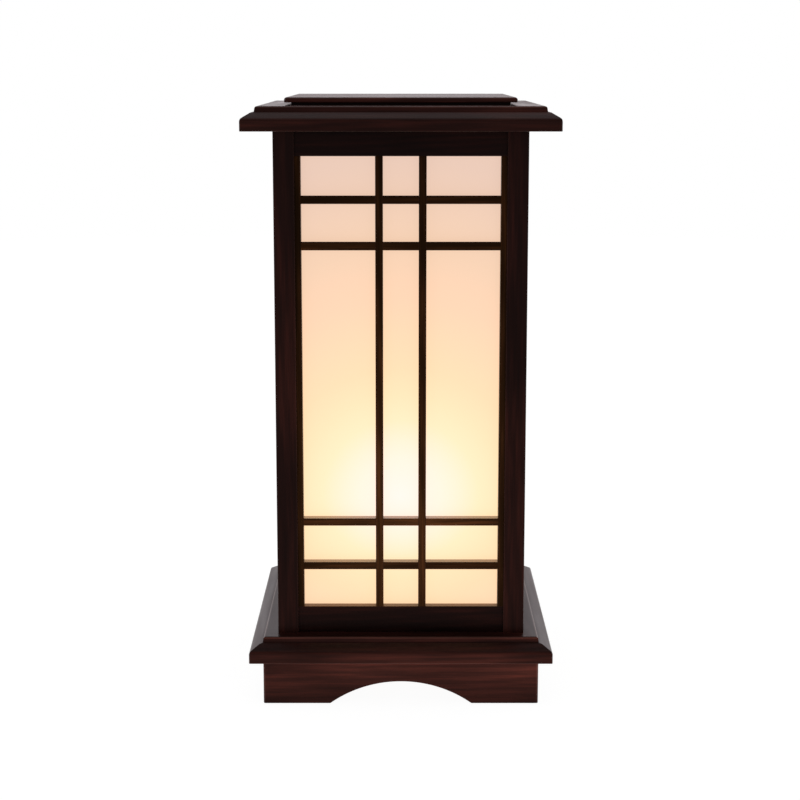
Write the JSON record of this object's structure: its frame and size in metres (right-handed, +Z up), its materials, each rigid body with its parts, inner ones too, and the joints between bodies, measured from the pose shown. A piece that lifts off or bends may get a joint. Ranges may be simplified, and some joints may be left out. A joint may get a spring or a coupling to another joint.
{
  "type": "andon floor lamp",
  "caption": "Square wooden lantern lamp that stands on the floor: lattice over frosted panes, stepped base and cap, arched plinth, lift-off lid and a bulb in a holder.",
  "frame": {"origin": "on the floor under the middle of the lamp", "axes": "+Z up, the front (the side in the picture) towards -Y, +X to the viewer's right"},
  "size_m": [0.2536, 0.2536, 0.5],
  "materials": {
    "lacquered_wood": "dark espresso stain under satin lacquer",
    "raw_wood": "plain sanded wood, unlacquered",
    "frosted_acrylic": "frosted, lets light through",
    "bulb_glass": "opal white",
    "nickelled_cap": "nickel-plated sheet",
    "brass": "plain",
    "black_phenolic": "moulded, polished",
    "white_porcelain": "glazed",
    "zinc_steel": "zinc-plated",
    "rubber": "matt"
  },
  "bodies": {
    "case": {"plinth_front": "lacquered_wood", "plinth_right": "lacquered_wood", "plinth_back": "lacquered_wood", "plinth_left": "lacquered_wood", "plinth_corner_blocks": "raw_wood", "base_moulding_front": "lacquered_wood", "base_moulding_right": "lacquered_wood", "base_moulding_back": "lacquered_wood", "base_moulding_left": "lacquered_wood", "floor_board": "raw_wood", "frame_screws": "zinc_steel", "board_screws": "zinc_steel", "post_front_right": "lacquered_wood", "post_back_right": "lacquered_wood", "post_back_left": "lacquered_wood", "post_front_left": "lacquered_wood", "lower_rail_front": "lacquered_wood", "lower_rail_right": "lacquered_wood", "lower_rail_back": "lacquered_wood", "lower_rail_left": "lacquered_wood", "upper_rail_front": "lacquered_wood", "upper_rail_right": "lacquered_wood", "upper_rail_back": "lacquered_wood", "upper_rail_left": "lacquered_wood", "lattice_stiles_front": "lacquered_wood", "lattice_stiles_right": "lacquered_wood", "lattice_stiles_back": "lacquered_wood", "lattice_stiles_left": "lacquered_wood", "lattice_uprights_front": "lacquered_wood", "lattice_uprights_right": "lacquered_wood", "lattice_uprights_back": "lacquered_wood", "lattice_uprights_left": "lacquered_wood", "lattice_cross_bars_front": "lacquered_wood", "lattice_cross_bars_right": "lacquered_wood", "lattice_cross_bars_back": "lacquered_wood", "lattice_cross_bars_left": "lacquered_wood", "pane_front": "frosted_acrylic", "pane_right": "frosted_acrylic", "pane_back": "frosted_acrylic", "pane_left": "frosted_acrylic", "level_beads": "raw_wood", "upright_beads": "raw_wood", "cap_moulding_front": "lacquered_wood", "cap_moulding_right": "lacquered_wood", "cap_moulding_back": "lacquered_wood", "cap_moulding_left": "lacquered_wood", "cap_dowels": "raw_wood", "lead_bush": "rubber", "holder_flange": "zinc_steel", "holder_screws": "zinc_steel", "holder_cup": "black_phenolic", "holder_core": "white_porcelain", "holder_tongue": "brass", "holder_shell": "brass", "holder_skirt": "black_phenolic"},
    "lid": {"lid_board": "lacquered_wood", "lid_block": "lacquered_wood", "lid_cleats": "raw_wood"},
    "bulb": {"bulb_glass": "bulb_glass", "bulb_cap": "nickelled_cap"}
  },
  "joints": [
    {"name": "lid_lift", "type": "slide", "parent": "case", "child": "lid", "axis": [0, 0, 1], "range_m": [0, 0.08]},
    {"name": "bulb_lift", "type": "slide", "parent": "case", "child": "bulb", "axis": [0, 0, 1], "range_m": [0, 0.045]}
  ]
}
